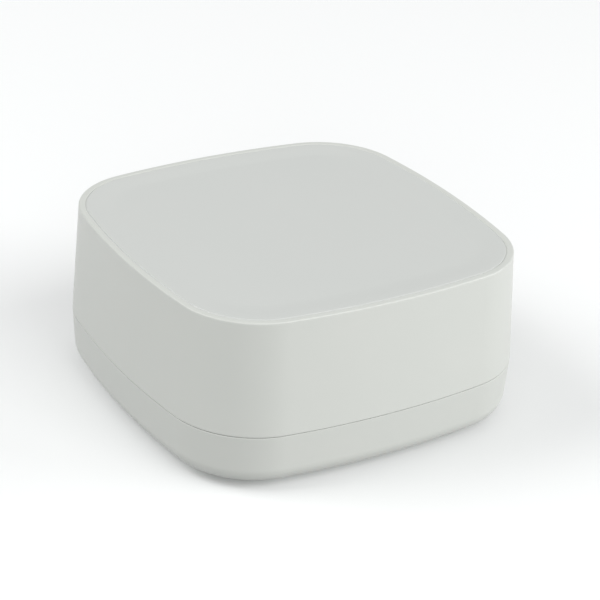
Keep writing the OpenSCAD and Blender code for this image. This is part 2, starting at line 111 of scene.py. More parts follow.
class EditMode:
    """Edit mode on one object, for the length of a with block."""

    def __init__(self, obj: bpy.types.Object) -> None:
        """Keeps the mesh object to edit."""
        self.obj = obj

    def __enter__(self) -> "EditMode":
        """Enters edit mode with nothing selected on the mesh.

        Returns:
            This helper.
        """
        only(self.obj)
        bpy.ops.object.mode_set(mode="EDIT")
        bpy.ops.mesh.select_all(action="DESELECT")
        return self

    def __exit__(self, *_: object) -> None:
        """Goes back to object mode."""
        bpy.ops.object.mode_set(mode="OBJECT")

    def faces(self, test: Callable[[bmesh.types.BMFace], bool]) -> int:
        """Selects the faces that pass a test, and nothing else.

        Args:
            test: says whether a face is wanted, by its place or normal.

        Returns:
            How many faces were selected.
        """
        bpy.ops.mesh.select_mode(type="FACE")
        bpy.ops.mesh.select_all(action="DESELECT")
        mesh = bmesh.from_edit_mesh(self.obj.data)
        found = [face for face in mesh.faces if test(face)]
        for face in found:
            face.select_set(True)
        mesh.select_flush_mode()
        bmesh.update_edit_mesh(self.obj.data)
        return len(found)

    def edges(self, test: Callable[[bmesh.types.BMEdge], bool]) -> int:
        """Selects the edges that pass a test, and nothing else.

        Args:
            test: says whether an edge is wanted, by its place or its faces.

        Returns:
            How many edges were selected.
        """
        bpy.ops.mesh.select_mode(type="EDGE")
        bpy.ops.mesh.select_all(action="DESELECT")
        mesh = bmesh.from_edit_mesh(self.obj.data)
        found = [edge for edge in mesh.edges if test(edge)]
        for edge in found:
            edge.select_set(True)
        bmesh.update_edit_mesh(self.obj.data)
        return len(found)

    def clean(self, reach: float = 1e-6) -> None:
        """Merges doubled points and turns every face outwards.

        Args:
            reach: how close two points are that become one.
        """
        bpy.ops.mesh.select_mode(type="VERT")
        bpy.ops.mesh.select_all(action="SELECT")
        bpy.ops.mesh.remove_doubles(threshold=reach)
        bpy.ops.mesh.normals_make_consistent(inside=False)


def chain(name: str, points: Sequence[Place]) -> bpy.types.Object:
    """Draws a chain of edges by extruding one point again and again.

    Args:
        name: the new object's name.
        points: the places the chain runs through.

    Returns:
        The new object, its last point free to extrude from.
    """
    bpy.ops.mesh.primitive_plane_add(size=0.001)
    obj = named(name)
    with EditMode(obj):
        bpy.ops.mesh.select_mode(type="VERT")
        bpy.ops.mesh.select_all(action="SELECT")
        bpy.ops.mesh.merge(type="CENTER")
        bpy.ops.transform.translate(value=points[0])
        for start, end in zip(points, points[1:]):
            step = Vector(end) - Vector(start)
            bpy.ops.mesh.extrude_region_move(TRANSFORM_OT_translate={"value": step})
    return obj


def cube(name: str, low: Place, high: Place) -> bpy.types.Object:
    """Adds a block between two corners, its place in its mesh.

    Args:
        name: the new object's name.
        low: the lowest corner.
        high: the highest corner.

    Returns:
        The block.
    """
    centre = [(a + b) / 2 for a, b in zip(low, high)]
    size = [b - a for a, b in zip(low, high)]
    bpy.ops.mesh.primitive_cube_add(size=1, location=centre, scale=size)
    obj = named(name)
    settle(obj)
    return obj


def rod(name: str, radius: float, place: Place, length: float, axis: Axis = Axis.UP,
        sides: int = 48) -> bpy.types.Object:
    """Adds a round bar that starts at a place and runs along an axis.

    Args:
        name: the new object's name.
        radius: its radius.
        place: the middle of its first end.
        length: its length.
        axis: the way it lies.
        sides: how many sides draw the circle.

    Returns:
        The bar.
    """
    x, y, z = place
    if axis is Axis.BACK:
        centre, turn = (x, y + length / 2, z), (math.pi / 2, 0, 0)
    else:
        centre, turn = (x, y, z + length / 2), (0, 0, 0)
    bpy.ops.mesh.primitive_cylinder_add(
        radius=radius, depth=length, vertices=sides, location=centre, rotation=turn
    )
    obj = named(name)
    settle(obj)
    return obj


def settle(obj: bpy.types.Object) -> None:
    """Puts an object's place, turn and size into its mesh."""
    only(obj)
    bpy.ops.object.transform_apply(location=True, rotation=True, scale=True)


def apply(obj: bpy.types.Object, kind: str, **settings: object) -> None:
    """Adds a modifier and applies it.

    Args:
        obj: the object to change.
        kind: the modifier's type.
        settings: the modifier's properties.
    """
    only(obj)
    modifier = obj.modifiers.new(kind.title(), kind)
    for key, value in settings.items():
        setattr(modifier, key, value)
    bpy.ops.object.modifier_apply(modifier=modifier.name)


def carve(obj: bpy.types.Object, *tools: bpy.types.Object, join: bool = False) -> None:
    """Cuts tools out of an object, or joins them to it, and removes the tools.

    Args:
        obj: the object to change.
        tools: closed meshes that stay clear of each other.
        join: True joins, False cuts.
    """
    only(*tools)
    if len(tools) > 1:
        bpy.ops.object.join()
    operation = "UNION" if join else "DIFFERENCE"
    apply(obj, "BOOLEAN", object=tools[0], operation=operation, solver="EXACT")
    bpy.data.objects.remove(tools[0], do_unlink=True)


def shade(obj: bpy.types.Object, angle: float = 32.0) -> bpy.types.Object:
    """Shades smooth over soft bends, with flat faces kept flat to their edges.

    Args:
        obj: the object to shade.
        angle: the sharpest bend that is shaded smooth, in degrees.

    Returns:
        The same object.
    """
    only(obj)
    bpy.ops.object.shade_smooth_by_angle(angle=math.radians(angle))
    apply(obj, "WEIGHTED_NORMAL", keep_sharp=True)
    return obj


def soften(obj: bpy.types.Object, width: float, segments: int = 2,
           angle: float = 40.0) -> bpy.types.Object:
    """Rounds every sharp edge.

    Args:
        obj: the object to change.
        width: how far back from the edge the round starts.
        segments: how many faces draw it.
        angle: edges sharper than this, in degrees, are rounded.

    Returns:
        The same object.
    """
    apply(obj, "BEVEL", width=width, segments=segments, limit_method="ANGLE",
          angle_limit=math.radians(angle), use_clamp_overlap=True)
    return obj


def spread(obj: bpy.types.Object, moves: Sequence[Matrix]) -> bpy.types.Object:
    """Puts a copy of a piece, with its own mesh, at each place and joins the copies.

    Args:
        obj: the piece as modelled once, which is used up.
        moves: the move or turn that takes the piece to each place.

    Returns:
        The joined copies.
    """
    twins = []
    for move in moves:
        only(obj)
        bpy.ops.object.duplicate()
        twin = bpy.context.active_object
        twin.data.transform(move)
        twins.append(twin)
    bpy.data.objects.remove(obj, do_unlink=True)
    only(*twins)
    bpy.ops.object.join()
    return twins[0]


def turned(name: str, profile: Sequence[Point], place: Place, axis: Axis = Axis.UP,
           sides: int = 48) -> bpy.types.Object:
    """Spins a profile into a closed round piece.

    Args:
        name: the new object's name.
        profile: points (radius, height) from one pole to the other, both on the axis.
        place: where height 0 lies.
        axis: the way that its height runs.
        sides: how many steps make the full turn.

    Returns:
        The round piece.
    """
    x, y, z = place
    if axis is Axis.BACK:
        points = [(x + r, y + h, z) for r, h in profile]
        line = (0, 1, 0)
    else:
        points = [(x + r, y, z + h) for r, h in profile]
        line = (0, 0, 1)
    obj = chain(name, points)
    with EditMode(obj) as edit:
        bpy.ops.mesh.select_all(action="SELECT")
        bpy.ops.mesh.spin(steps=sides, angle=2 * math.pi, center=place, axis=line)
        edit.clean(1e-7)
    return obj


def slab(name: str, outline: Sequence[Point], low: float, high: float) -> bpy.types.Object:
    """A flat piece with any outline, filled and drawn out upwards.

    Args:
        name: the new object's name.
        outline: points (x, y) round it.
        low: the height of its underside.
        high: the height of its top.

    Returns:
        The flat piece.
    """
    obj = chain(name, [(x, y, low) for x, y in outline])
    with EditMode(obj) as edit:
        bpy.ops.mesh.select_all(action="SELECT")
        bpy.ops.mesh.edge_face_add()
        bpy.ops.mesh.select_mode(type="FACE")
        bpy.ops.mesh.select_all(action="SELECT")
        bpy.ops.mesh.extrude_region_move(TRANSFORM_OT_translate={"value": (0, 0, high - low)})
        edit.clean(1e-7)
    return obj


def tube(name: str, centre: Place, width: float, height: float, length: float) -> bpy.types.Object:
    """A bar along +Y with half-round sides, made from a block whose long edges are rounded off.

    Args:
        name: the new object's name.
        centre: the middle of its first end.
        width: its width along X.
        height: its height along Z.
        length: its length.

    Returns:
        The bar.
    """
    x, y, z = centre
    almost_round = 0.998
    obj = cube(name, (x - width / 2, y, z - height / 2), (x + width / 2, y + length, z + height / 2))
    with EditMode(obj) as edit:
        edit.edges(lambda e: abs((e.verts[0].co - e.verts[1].co).y) > length / 2)
        bpy.ops.mesh.bevel(offset=height / 2 * almost_round, segments=12, affect="EDGES")
        edit.clean()
    return obj


def round_edges(obj: bpy.types.Object, test: Callable[[bmesh.types.BMEdge], bool], width: float,
                segments: int = 3) -> None:
    """Rounds the edges that pass a test.

    Args:
        obj: the object to change.
        test: says whether an edge is rounded.
        width: how far back from the edge the round starts.
        segments: how many faces draw it.
    """
    with EditMode(obj) as edit:
        if edit.edges(test):
            bpy.ops.mesh.bevel(offset=width, segments=segments, affect="EDGES")


def braced(section: Sequence[Point], reach: float = 0.25 * MM) -> list[Point]:
    """Adds a point near each end of a section's long straights, so that they shade flat.

    Args:
        section: the section's points in order.
        reach: how far from the ends the new points lie.

    Returns:
        The section with the new points.
    """
    points = [section[0]]
    for start, end in zip(section, section[1:]):
        span = math.dist(start, end)
        if span > 4 * reach:
            for part in (reach / span, 1 - reach / span):
                points.append(tuple(a + (b - a) * part for a, b in zip(start, end)))
        points.append(end)
    return points


def middle(node: str) -> Vector:
    """The middle of a CAD node's box."""
    low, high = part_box(node)
    return (low + high) / 2


def upright(edge: bmesh.types.BMEdge) -> bool:
    """True on an edge that runs straight up."""
    step = edge.verts[0].co - edge.verts[1].co
    return abs(step.x) + abs(step.y) < 1e-7


def curve(centre: Point, radius: float, start: float, end: float, steps: int) -> list[Point]:
    """Points along an arc between two angles in degrees, anticlockwise from the first axis."""
    turns = [math.radians(start + (end - start) * i / steps) for i in range(steps + 1)]
    return [(centre[0] + radius * math.cos(turn), centre[1] + radius * math.sin(turn)) for turn in turns]


def arc(centre: Point, radius: float, start: float, end: float, steps: int) -> list[Point]:
    """Points along an arc in a section, where 0 degrees points outwards and 90 up.

    Args:
        centre: the arc's middle, (distance in, height).
        radius: its radius.
        start: the angle it starts at.
        end: the angle it ends at.
        steps: how many edges draw it.

    Returns:
        The arc's points.
    """
    return curve(centre, radius, 180 - start, 180 - end, steps)


# ---------------------------------------------------------------------------------------
# The housing's outline
# ---------------------------------------------------------------------------------------


@dataclass(frozen=True)
class Outline:
    """Eight tangent arcs seen from above: four bowed sides and four rounded corners."""

    half: float
    side_r: float = 148 * MM
    corner_r: float = 16.4 * MM
    side_steps: int = 16
    corner_steps: int = 26

    @property
    def far(self) -> float:
        """How far a bowed side's centre lies from the middle, as a negative distance."""
        return self.half - self.side_r

    @property
    def corner(self) -> float:
        """The corner centre's distance from the middle, along X and along Y."""
        span = self.side_r - self.corner_r
        return (self.far + math.sqrt(2 * span * span - self.far * self.far)) / 2

    @property
    def meet(self) -> float:
        """The angle of the line on which a side and a corner meet, in radians."""
        return math.atan2(self.corner - self.far, self.corner)

    def seat(self, point: Point) -> Place:
        """Places a section's point at the start of a corner.

        Args:
            point: its distance in from the widest outline, and its height.

        Returns:
            Where it lies.
        """
        turn = math.pi / 2 - self.meet
        reach = self.corner_r - point[0]
        return (
            self.corner + reach * math.cos(turn),
            self.corner + reach * math.sin(turn),
            point[1],
        )

    def wall(self, x: float, inset: float = 0.0) -> float:
        """How far back the back wall lies at a side-to-side place."""
        reach = self.side_r - inset
        return self.far + math.sqrt(reach * reach - x * x)

    def sweep(self, name: str, section: Sequence[Point]) -> bpy.types.Object:
        """Spins a section round the corners and the sides in turn, and fills the loops at its ends.

        Args:
            name: the new object's name.
            section: points (distance in from the widest outline, height).

        Returns:
            The new closed mesh object.
        """
        section = braced(section)
        obj = chain(name, [self.seat(point) for point in section])
        corner_turn = 2 * self.meet - math.pi / 2
        side_turn = math.pi - 2 * self.meet
        with EditMode(obj) as edit:
            bpy.ops.mesh.select_all(action="SELECT")
            for quarter in range(4):
                spin = Matrix.Rotation(quarter * math.pi / 2, 3, "Z")
                for centre, turn, steps in (
                    (Vector((self.corner, self.corner, 0)), corner_turn, self.corner_steps),
                    (Vector((0, self.far, 0)), side_turn, self.side_steps),
                ):
                    bpy.ops.mesh.spin(
                        steps=steps, angle=-turn, center=spin @ centre, axis=(0, 0, 1),
                        use_auto_merge=False,
                    )
            edit.clean()
            for height in (section[0][1], section[-1][1]):
                edit.edges(
                    lambda e, z=height: e.is_boundary
                    and all(abs(v.co.z - z) < 1e-7 for v in e.verts)
                )
                bpy.ops.mesh.edge_face_add()
            edit.clean()
        return obj


# ---------------------------------------------------------------------------------------
# Materials
# ---------------------------------------------------------------------------------------


def linear(code: str) -> tuple[float, float, float, float]:
    """Turns an sRGB colour into a linear one.

    Args:
        code: the colour as # and six hex digits.

    Returns:
        Linear red, green, blue and alpha.
    """
    parts = [int(code[i : i + 2], 16) / 255 for i in (1, 3, 5)]
    lit = [c / 12.92 if c <= 0.04045 else ((c + 0.055) / 1.055) ** 2.4 for c in parts]
    return (*lit, 1.0)


def add(tree: bpy.types.NodeTree, kind: str, settings: dict[str, object] | None = None,
        links: dict[str, bpy.types.NodeSocket] | None = None) -> bpy.types.Node:
    """Adds a node with its settings and links.

    Args:
        tree: the material's node tree.
        kind: the node's type name.
        settings: values by input socket or by property.
        links: sockets that feed its inputs.

    Returns:
        The new node.
    """
    node = tree.nodes.new(kind)
    for key, value in (settings or {}).items():
        if key in node.inputs:
            node.inputs[key].default_value = value
        else:
            setattr(node, key, value)
    for key, socket in (links or {}).items():
        tree.links.new(socket, node.inputs[key])
    return node


@dataclass(frozen=True)
class Finish:
    """A surface finish: base colour, gloss, and a fine pattern in both.

    Grain is the size of the surface's texture, depth its height, and mottle the size of the
    slow change in colour. Each is a real length.
    """

    name: str
    colour: str
    tint: str
    roughness: float
    roughness_swing: float = 0.05
    metallic: float = 0.0
    ior: float = 1.5
    grain: float = 0.2 * MM
    depth: float = 0.004 * MM
    mottle: float = 6 * MM
    coat: float = 0.0
    stretch: tuple[float, float, float] = (1.0, 1.0, 1.0)
    extra: dict[str, float] = field(default_factory=dict)

    def build(self) -> bpy.types.Material:
        """Makes the node material.

        Returns:
            The new material.
        """
        material = bpy.data.materials.new(self.name)
        material.use_nodes = True
        tree = material.node_tree
        tree.nodes.clear()
        output = add(tree, "ShaderNodeOutputMaterial")
        place = add(tree, "ShaderNodeTexCoord").outputs["Object"]
        mapping = add(tree, "ShaderNodeMapping", {"Scale": self.stretch}, {"Vector": place})
        vector = mapping.outputs["Vector"]
        shader = add(tree, "ShaderNodeBsdfPrincipled", {
            "Metallic": self.metallic, "Coat Weight": self.coat, **self.extra,
        })
        if not self.metallic:
            shader.inputs["IOR"].default_value = self.ior
        tree.links.new(self.paint(tree, vector), shader.inputs["Base Color"])
        tree.links.new(self.gloss(tree, vector), shader.inputs["Roughness"])
        tree.links.new(self.relief(tree, vector), shader.inputs["Normal"])
        tree.links.new(shader.outputs["BSDF"], output.inputs["Surface"])
        return material

    def blend(self, tree: bpy.types.NodeTree, share: bpy.types.NodeSocket) -> bpy.types.NodeSocket:
        """Mixes the finish's two shades.

        Args:
            tree: the material's node tree.
            share: how much of the second shade shows.

        Returns:
            The mixed colour.
        """
        mix = add(tree, "ShaderNodeMix", {"data_type": "RGBA"}, {"Factor": share})
        colours = [socket for socket in mix.inputs if socket.type == "RGBA"]
        colours[0].default_value = linear(self.colour)
        colours[1].default_value = linear(self.tint)
        return next(socket for socket in mix.outputs if socket.type == "RGBA")

    def cloud(self, tree: bpy.types.NodeTree, vector: bpy.types.NodeSocket, scale: float,
              detail: float = 2.0) -> bpy.types.NodeSocket:
        """A soft, random pattern.

        Args:
            tree: the material's node tree.
            vector: the place on the piece.
            scale: how many blotches there are in a metre.
            detail: how much finer pattern lies over them.

        Returns:
            The pattern's strength.
        """
        noise = add(tree, "ShaderNodeTexNoise", {"Scale": scale, "Detail": detail}, {"Vector": vector})
        return noise.outputs["Fac"]

    def paint(self, tree: bpy.types.NodeTree, vector: bpy.types.NodeSocket) -> bpy.types.NodeSocket:
        """Colour that drifts slowly between the finish's two shades."""
        return self.blend(tree, self.cloud(tree, vector, 1 / self.mottle, 3.0))

    def gloss(self, tree: bpy.types.NodeTree, vector: bpy.types.NodeSocket) -> bpy.types.NodeSocket:
        """Roughness that follows a pattern twice as coarse as the grain.

        Args:
            tree: the material's node tree.
            vector: the place on the piece.

        Returns:
            The roughness.
        """
        span = add(tree, "ShaderNodeMapRange", {
            "To Min": self.roughness - self.roughness_swing,
            "To Max": self.roughness + self.roughness_swing,
        }, {"Value": self.cloud(tree, vector, 0.5 / self.grain)})
        return span.outputs["Result"]

    def relief(self, tree: bpy.types.NodeTree, vector: bpy.types.NodeSocket) -> bpy.types.NodeSocket:
        """The texture of the surface as a bump.

        Args:
            tree: the material's node tree.
            vector: the place on the piece.

        Returns:
            The bent normal.
        """
        bump = add(tree, "ShaderNodeBump", {"Strength": 1.0, "Distance": self.depth},
                   {"Height": self.cloud(tree, vector, 1 / self.grain)})
        return bump.outputs["Normal"]


@dataclass(frozen=True)
class BoardFinish(Finish):
    """Solder resist over copper tracks on glass cloth: faint lighter lines under the lacquer."""

    track: float = 1.2 * MM
    fold: float = 0.12
    edge: Point = (0.055, 0.075)

    def paint(self, tree: bpy.types.NodeTree, vector: bpy.types.NodeSocket) -> bpy.types.NodeSocket:
        """Tracks as the edges of a blocky pattern, over the base shade.

        Args:
            tree: the material's node tree.
            vector: the place on the piece.

        Returns:
            The colour.
        """
        cells = add(tree, "ShaderNodeTexVoronoi", {
            "Scale": 0.25 / self.track, "distance": "CHEBYCHEV", "feature": "F1",
        }, {"Vector": vector})
        wave = add(tree, "ShaderNodeMath", {"operation": "PINGPONG"}, {"Value": cells.outputs["Distance"]})
        wave.inputs[1].default_value = self.fold
        line = add(tree, "ShaderNodeMapRange", {"From Min": self.edge[0], "From Max": self.edge[1]},
                   {"Value": wave.outputs[0]})
        return self.blend(tree, line.outputs["Result"])


# White ABS from a spark-eroded mould: satin, with a grain too fine to see from a step away.
# The grain is drawn at twice its real size so that it just breaks up the shine.
SHELL_WHITE = Finish("white_abs_satin", "#D4D6D1", "#D1D4CF", 0.36, 0.03, ior=1.53, grain=0.22 * MM,
                     depth=0.0022 * MM, mottle=14 * MM)
# The panel's white ABS, from a mould with a finer texture: a trace darker and less shiny.
PANEL_WHITE = Finish("white_abs_panel", "#D0D2CF", "#CDD0CD", 0.38, 0.03, ior=1.53, grain=0.2 * MM,
                     depth=0.0018 * MM, mottle=18 * MM)
# Grey silicone rubber, pressed: matt, with a powdery bloom that lightens it in patches.
FOOT_RUBBER = Finish("grey_silicone_rubber", "#5E605F", "#6A6C6B", 0.78, 0.06, ior=1.42, grain=0.3 * MM,
                     depth=0.006 * MM, mottle=2.5 * MM)
# Blank polyester label film: flat, a little glossier than the shell.
LABEL_FILM = Finish("polyester_label_film", "#C9CCCE", "#CED1D2", 0.32, 0.03, ior=1.58, grain=0.4 * MM,
                    depth=0.002 * MM, mottle=9 * MM)
# Zinc-plated steel screws: dull metal with a slight colour drift from the passivation.
SCREW_STEEL = Finish("zinc_plated_steel", "#A9A79C", "#B7B8B4", 0.34, 0.08, metallic=1.0, grain=0.12 * MM,
                     depth=0.002 * MM, mottle=1.2 * MM)
# Green solder resist over glass cloth and copper: glossy lacquer over faint tracks.
BOARD_GREEN = BoardFinish("green_solder_resist", "#0E3D22", "#1A5A33", 0.28, 0.05, ior=1.56, grain=0.5 * MM,
                          depth=0.004 * MM, coat=0.3)
# Blue solder resist on the radio's small board: the same lacquer over narrower tracks.
MODULE_BLUE = BoardFinish("blue_solder_resist", "#122B63", "#1D4083", 0.28, 0.05, ior=1.56, grain=0.5 * MM,
                          depth=0.004 * MM, coat=0.3, track=0.7 * MM)
# Black moulding epoxy on chips and coils: matt, with a fine sandy grain.
CHIP_BLACK = Finish("moulded_epoxy", "#1B1B1D", "#232326", 0.58, 0.07, ior=1.55, grain=0.12 * MM,
                    depth=0.004 * MM, mottle=2 * MM)
# Soft silicone heat pad: chalky and matt.
THERMAL_PAD = Finish("silicone_heat_pad", "#8F9EAD", "#9AA8B4", 0.82, 0.04, ior=1.42, grain=0.25 * MM,
                     depth=0.005 * MM, mottle=2 * MM)
# Tin-plated steel cans: bright, with fine lines from the rolling mill along X.
SHIELD_TIN = Finish("tin_plated_steel", "#C6C4BD", "#D0CFCA", 0.3, 0.07, metallic=1.0, grain=0.3 * MM,
                    depth=0.002 * MM, mottle=3 * MM, stretch=(0.08, 1.0, 1.0))
# Extruded aluminium, bead blasted: soft grey metal.
SINK_ALUMINIUM = Finish("blasted_aluminium", "#AEB1B3", "#B9BBBD", 0.5, 0.06, metallic=1.0, grain=0.15 * MM,
                        depth=0.006 * MM, mottle=3 * MM)
# Nickel-plated socket shells: bright pressed metal, finely scuffed.
SOCKET_STEEL = Finish("nickel_plated_steel", "#C9C6BF", "#D6D4CF", 0.24, 0.06, metallic=1.0, grain=0.2 * MM,
                      depth=0.0015 * MM, mottle=2 * MM)
# Black moulded nylon inside the sockets: matt.
SOCKET_BLACK = Finish("black_moulded_nylon", "#17171A", "#1F1F22", 0.5, 0.06, ior=1.53, grain=0.15 * MM,
                      depth=0.003 * MM, mottle=2 * MM)
# Dark grey moulded nylon of the switches: matt, a little lighter than the sockets.
SWITCH_DARK = Finish("dark_switch_nylon", "#2B2B2E", "#333337", 0.52, 0.06, ior=1.53, grain=0.15 * MM,
                     depth=0.003 * MM, mottle=2 * MM)
# Gold flash on contacts and aerial strips: warm and bright.
CONTACT_GOLD = Finish("gold_flash", "#D9B25A", "#E3C071", 0.22, 0.05, metallic=1.0, grain=0.1 * MM,
                      depth=0.001 * MM, mottle=1 * MM)
# Milky lens over the socket's lights.
LIGHT_LENS = Finish("milky_lens", "#C9CDB2", "#D3D6BF", 0.25, 0.04, ior=1.49, grain=0.3 * MM,
                    depth=0.002 * MM, mottle=1 * MM)
# Light grey ABS button, satin from the same kind of mould as the shell.
BUTTON_GREY = Finish("grey_abs_button", "#B9BBBA", "#BDBFBE", 0.42, 0.04, ior=1.53, grain=0.15 * MM,
                     depth=0.002 * MM, mottle=4 * MM)
# Red moulded acetal on the switch's plunger: smooth and slightly waxy.
PLUNGER_RED = Finish("red_acetal", "#8E2A20", "#992F24", 0.36, 0.04, ior=1.48, grain=0.2 * MM,
                     depth=0.002 * MM, mottle=1 * MM)
# Cream moulded resin of the status light: smooth, with a soft shine.
LED_WHITE = Finish("led_moulding", "#E6E2C8", "#EEEAD2", 0.3, 0.04, ior=1.5, grain=0.3 * MM,
                   depth=0.002 * MM, mottle=1 * MM)
# Clear acrylic light guide: transparent, with a polished skin.
PIPE_CLEAR = Finish("clear_acrylic", "#F1F6F7", "#EAF1F3", 0.08, 0.03, ior=1.49, grain=0.8 * MM,
                    depth=0.001 * MM, mottle=4 * MM, extra={"Transmission Weight": 0.9})
# Black fluoropolymer sheath on the thin aerial leads: smooth and a little waxy.
LEAD_BLACK = Finish("black_lead_sheath", "#151517", "#1C1C1E", 0.4, 0.05, ior=1.38, grain=0.2 * MM,
                    depth=0.002 * MM, mottle=1.5 * MM)
# Drawn aluminium cans of the capacitors: satin metal with faint upright draw marks.
CAPACITOR_CAN = Finish("drawn_aluminium", "#B5B8BC", "#C1C3C6", 0.32, 0.06, metallic=1.0, grain=0.2 * MM,
                       depth=0.001 * MM, mottle=3 * MM, stretch=(1.0, 1.0, 0.1))
# Drawn steel can of the crystal: brighter than the capacitors, with no direction.
CRYSTAL_CAN = Finish("drawn_steel", "#C2C1BE", "#CCCBC9", 0.26, 0.06, metallic=1.0, grain=0.2 * MM,
                     depth=0.001 * MM, mottle=2 * MM)
# Fired ceramic on the small chip parts: tan and matt.
PASSIVE_TAN = Finish("fired_ceramic", "#8A6B48", "#967754", 0.6, 0.06, ior=1.6, grain=0.1 * MM,
                     depth=0.003 * MM, mottle=0.8 * MM)

FINISHES: dict[str, Finish] = {
    "shell_white": SHELL_WHITE, "panel_white": PANEL_WHITE, "foot_rubber": FOOT_RUBBER,
    "label_film": LABEL_FILM, "screw_steel": SCREW_STEEL, "board_green": BOARD_GREEN,
    "module_blue": MODULE_BLUE, "chip_black": CHIP_BLACK, "thermal_pad": THERMAL_PAD,
    "shield_tin": SHIELD_TIN, "sink_aluminium": SINK_ALUMINIUM, "socket_steel": SOCKET_STEEL,
    "socket_black": SOCKET_BLACK, "switch_dark": SWITCH_DARK, "contact_gold": CONTACT_GOLD,
    "light_lens": LIGHT_LENS, "button_grey": BUTTON_GREY, "plunger_red": PLUNGER_RED,
    "led_white": LED_WHITE, "pipe_clear": PIPE_CLEAR, "lead_black": LEAD_BLACK,
    "capacitor_can": CAPACITOR_CAN, "crystal_can": CRYSTAL_CAN, "passive_tan": PASSIVE_TAN,
}


class Wardrobe:
    """Builds each finish once and puts it on pieces and on the frame's nodes."""

    def __init__(self) -> None:
        """Starts with nothing built."""
        self.made: dict[str, bpy.types.Material] = {}

    def material(self, slot: str) -> bpy.types.Material:
        """Finds or makes the material for one of the record's slots.

        Args:
            slot: the slot's name.

        Returns:
            The slot's material.
        """
        if slot not in self.made:
            self.made[slot] = FINISHES[slot].build()
        return self.made[slot]

    def dress(self, obj: bpy.types.Object, slot: str) -> None:
        """Gives a new piece the one material of its slot.

        Args:
            obj: the piece.
            slot: the slot's name.
        """
        obj.data.materials.clear()
        obj.data.materials.append(self.material(slot))

    def dress_node(self, name: str, slot: str) -> None:
        """Gives a CAD node its material, through its object's own slots.

        Args:
            name: the node's name.
            slot: the slot's name.
        """
        obj = frame["nodes"][name]
        for holder in obj.material_slots:
            holder.link = "OBJECT"
            holder.material = self.material(slot)


@dataclass
class Piece:
    """A finished visible piece: what it rides on, stands for and is made of."""

    obj: bpy.types.Object
    slot: str
    nodes: tuple[str, ...]
    body: Body = Body.HOUSING

    def place(self, wardrobe: Wardrobe) -> None:
        """Shades and dresses the piece and ties it to the frame.

        Args:
            wardrobe: the finishes.
        """
        shade(self.obj)
        wardrobe.dress(self.obj, self.slot)
        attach(self.obj, self.body.value)
        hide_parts(*self.nodes)
        faces = len(self.obj.data.polygons)
        LOG.info("piece %s: %d faces on %s", self.obj.name, faces, self.body.value)


# ---------------------------------------------------------------------------------------
# The housing
# ---------------------------------------------------------------------------------------


@dataclass(frozen=True)
class Fittings:
    """Sizes of the posts, ribs, hooks and slots that are moulded onto the housing's parts."""

    # Screw posts near the corners: in the base the screws run free, in the shell they bite.
    screw_at: float = 24.09 * MM
    post_r: float = 2.6 * MM
    pilot_r: float = 1.1 * MM
    pilot_length: float = 11 * MM
    free_r: float = 1.25 * MM
    head_r: float = 2.2 * MM
    head_seat: float = 3.2 * MM
    boss_r: float = 3.2 * MM
    boss_height: float = 4.2 * MM
    # Studs that carry the board.
    stud_x: float = 27.5 * MM
    stud_y: float = 10 * MM
    stud_r: float = 2.3 * MM
    stud_bore: float = 1 * MM
    stud_depth: float = 4.5 * MM
    stud_past: float = 1.5 * MM
    # How far the posts and studs run into the deck and start inside the floor.
    deck_bite: float = 0.5 * MM
    floor_bite: float = 0.9 * MM
    # Guide for the pairing button, counted from the front of its switch.
    guide_r: float = 4.4 * MM
    guide_from: float = 2.9 * MM
    guide_length: float = 1.9 * MM
    # Block that takes away what reaches down past the shell's foot at the back.
    trim_half: float = 30 * MM
    trim_from: float = 20 * MM
    trim_to: float = 34 * MM
    trim_depth: float = 4 * MM
    # Ribs on the side walls, which hold the ends of the aerial boards.
    rib_in: float = 30 * MM
    rib_out: float = 32.8 * MM
    rib_half: float = 1.5 * MM
    rib_past: float = 0.6 * MM
    slot_front: float = 0.55 * MM
    slot_back: float = 0.5 * MM
    slot_play: float = 0.05 * MM
    # Snap hooks under the panel, and the room round them in the deck.
    hook_at: float = 10 * MM
    hook_from: float = 26.6 * MM
    hook_half: float = 2 * MM
    hook_leg: float = 0.9 * MM
    hook_lip: float = 0.45 * MM
    hook_tip: float = 1.1 * MM
    hook_ramp: float = 0.44 * MM
    hook_root: float = 0.3 * MM
    hook_catch: float = 0.15 * MM
    hook_side_room: float = 0.2 * MM
    hook_bend_room: float = 0.45 * MM
    hook_back_room: float = 0.15 * MM
    # Cooling slots in two rows, and the label's place.
    vent_length: float = 9 * MM
    vent_width: float = 1.6 * MM
    vent_pitch: float = 4 * MM
    vent_row: float = 20 * MM
    vents: int = 8
    label_play: float = 0.3 * MM
    label_recess: float = 0.3 * MM
    label_corner: float = 1.6 * MM


@dataclass(frozen=True)
class Openings:
    """Sizes of what is cut in the shell's walls, and the play round what stands in them."""

    start: float = 29 * MM
    length: float = 8 * MM
    network_start: float = 29.5 * MM
    network_play: float = 0.2 * MM
    power_play: float = 0.25 * MM
    reset_r: float = 0.75 * MM
    button_r: float = 2.85 * MM
    edge_round: float = 0.2 * MM
    # The base's tongue stops where the sockets and buttons stand in the back wall.
    stop_left: float = -20 * MM
    stop_right: float = 21 * MM
    stop_from: float = 25 * MM
    stop_height: float = 4 * MM
    # All the sockets and buttons lie within this distance of the middle.
    reach: float = 21 * MM
    # The status light's pocket in the front wall leaves only a thin skin of plastic.
    pocket_half: float = 2.8 * MM
    pocket_front: float = -33.85 * MM
    pocket_depth: float = 4 * MM
    pocket_foot: float = 3.9 * MM
    pocket_height: float = 3 * MM


